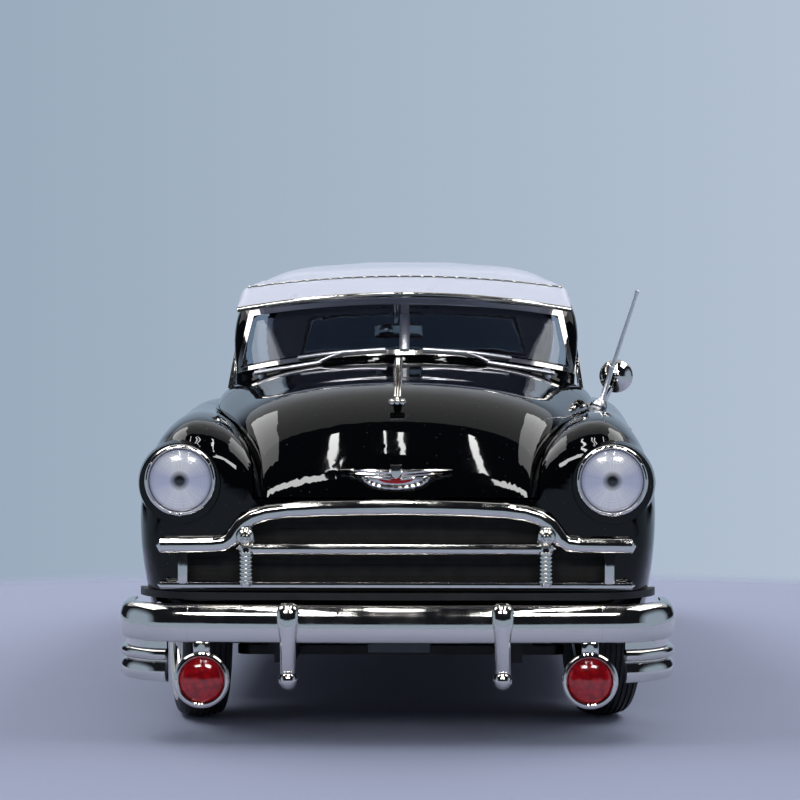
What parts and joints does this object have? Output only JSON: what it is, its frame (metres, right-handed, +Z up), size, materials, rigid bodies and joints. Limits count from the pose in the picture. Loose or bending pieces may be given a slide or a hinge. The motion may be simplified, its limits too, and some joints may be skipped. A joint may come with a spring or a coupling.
{
  "type": "scale model car",
  "caption": "Die-cast 1:18 model of a two-door hardtop of about 1950, black with a white roof and sun visor; doors, hood and trunk open, wheels roll and steer.",
  "frame": {"origin": "on the ground, midway along the overall length, on the car's middle line", "axes": "+Y towards the tail, +X to the car's left side, +Z up; the nose faces -Y"},
  "size_m": [0.1058, 0.2802, 0.0917],
  "materials": {
    "black_paint": "gloss",
    "white_paint": "gloss",
    "chrome": "mirror",
    "black_plastic": "matte",
    "clear_glass": "clear",
    "lamp_glass": "clear",
    "red_lens": "gloss",
    "tyre": "satin",
    "maroon_trim": "satin",
    "maroon_seat": "satin",
    "grey_metal": "satin",
    "engine_paint": "satin"
  },
  "bodies": {
    "car": {"body_shell": "black_paint", "roof_shell": "white_paint", "visor": "white_paint", "visor_trim": "chrome", "windshield_frame": "chrome", "windshield_glass": "clear_glass", "rear_window_frame": "chrome", "rear_window_glass": "clear_glass", "grille": "chrome", "grille_screen": "black_plastic", "gravel_pan": "black_paint", "front_bumper": "chrome", "rear_bumper": "chrome", "fog_lamps": "chrome", "fog_lenses": "red_lens", "headlamp_rings": "chrome", "headlamp_lenses": "lamp_glass", "tail_lamp_bezels": "chrome", "tail_lamp_lenses": "red_lens", "side_trim": "chrome", "antenna": "chrome", "wipers": "chrome", "chassis": "black_plastic", "rear_axle": "black_plastic", "exhaust": "grey_metal", "engine": "engine_paint", "interior_tub": "maroon_trim", "trunk_tray": "black_plastic", "front_seat": "maroon_seat", "rear_seat": "maroon_seat", "dashboard": "maroon_trim", "cabin_mirror": "chrome"},
    "hood": {"hood": "black_paint", "hood_emblem": "chrome", "hood_ornament": "chrome"},
    "trunk_lid": {"trunk_lid": "black_paint", "lid_handle": "chrome"},
    "door_left": {"door_left": "black_paint", "door_trim_left": "chrome", "door_card_left": "maroon_trim", "door_mirror": "chrome"},
    "door_right": {"door_right": "black_paint", "door_trim_right": "chrome", "door_card_right": "maroon_trim"},
    "steering_wheel": {"steering_wheel": "black_plastic"},
    "knuckle_left": {"knuckle_left": "black_plastic"},
    "knuckle_right": {"knuckle_right": "black_plastic"},
    "tie_rod": {"tie_rod": "black_plastic"},
    "wheel_front_left": {"tyre_front_left": "tyre", "wheel_front_left": "chrome"},
    "wheel_front_right": {"tyre_front_right": "tyre", "wheel_front_right": "chrome"},
    "wheel_rear_left": {"tyre_rear_left": "tyre", "wheel_rear_left": "chrome"},
    "wheel_rear_right": {"tyre_rear_right": "tyre", "wheel_rear_right": "chrome"}
  },
  "joints": [
    {"name": "hood_hinge", "type": "hinge", "parent": "car", "child": "hood", "pos_m": [0, -0.0644, 0.071], "axis": [-1, 0, 0], "range_deg": [0, 55]},
    {"name": "trunk_hinge", "type": "hinge", "parent": "car", "child": "trunk_lid", "pos_m": [0, 0.0694, 0.066], "axis": [1, 0, 0], "range_deg": [0, 60]},
    {"name": "door_left_hinge", "type": "hinge", "parent": "car", "child": "door_left", "pos_m": [0.0494, -0.0474, 0.04], "axis": [0, 0, -1], "range_deg": [0, 65]},
    {"name": "door_right_hinge", "type": "hinge", "parent": "car", "child": "door_right", "pos_m": [-0.0494, -0.0474, 0.04], "axis": [0, 0, 1], "range_deg": [0, 65]},
    {"name": "steer_left", "type": "hinge", "parent": "car", "child": "knuckle_left", "pos_m": [0.03, -0.0918, 0.0195], "axis": [0, 0, 1], "range_deg": [-30, 10]},
    {"name": "steer_right", "type": "hinge", "parent": "car", "child": "knuckle_right", "pos_m": [-0.03, -0.0918, 0.0195], "axis": [0, 0, 1], "range_deg": [-30, 10]},
    {"name": "tie_rod_slide", "type": "slide", "parent": "car", "child": "tie_rod", "axis": [1, 0, 0], "range_m": [-0.00137, 0.00411]},
    {"name": "steering_wheel_turn", "type": "hinge", "parent": "car", "child": "steering_wheel", "pos_m": [0.0185, -0.029, 0.056], "axis": [0, 0.8819, 0.4715], "range_deg": [-150, 50]},
    {"name": "wheel_front_left_spin", "type": "hinge", "parent": "knuckle_left", "child": "wheel_front_left", "pos_m": [0.04004, -0.09003, 0.0195], "axis": [0.9848, 0.1736, 0], "continuous": true},
    {"name": "wheel_front_right_spin", "type": "hinge", "parent": "knuckle_right", "child": "wheel_front_right", "pos_m": [-0.04004, -0.09357, 0.0195], "axis": [0.9848, 0.1736, 0], "continuous": true},
    {"name": "wheel_rear_left_spin", "type": "hinge", "parent": "car", "child": "wheel_rear_left", "pos_m": [0.0414, 0.0705, 0.0195], "axis": [1, 0, 0], "continuous": true},
    {"name": "wheel_rear_right_spin", "type": "hinge", "parent": "car", "child": "wheel_rear_right", "pos_m": [-0.0414, 0.0705, 0.0195], "axis": [1, 0, 0], "continuous": true}
  ],
  "couplings": [
    {"joint": "steer_right", "follows": "steer_left", "ratio": 1},
    {"joint": "tie_rod_slide", "follows": "steer_left", "m_per_rad": -0.00784}
  ]
}
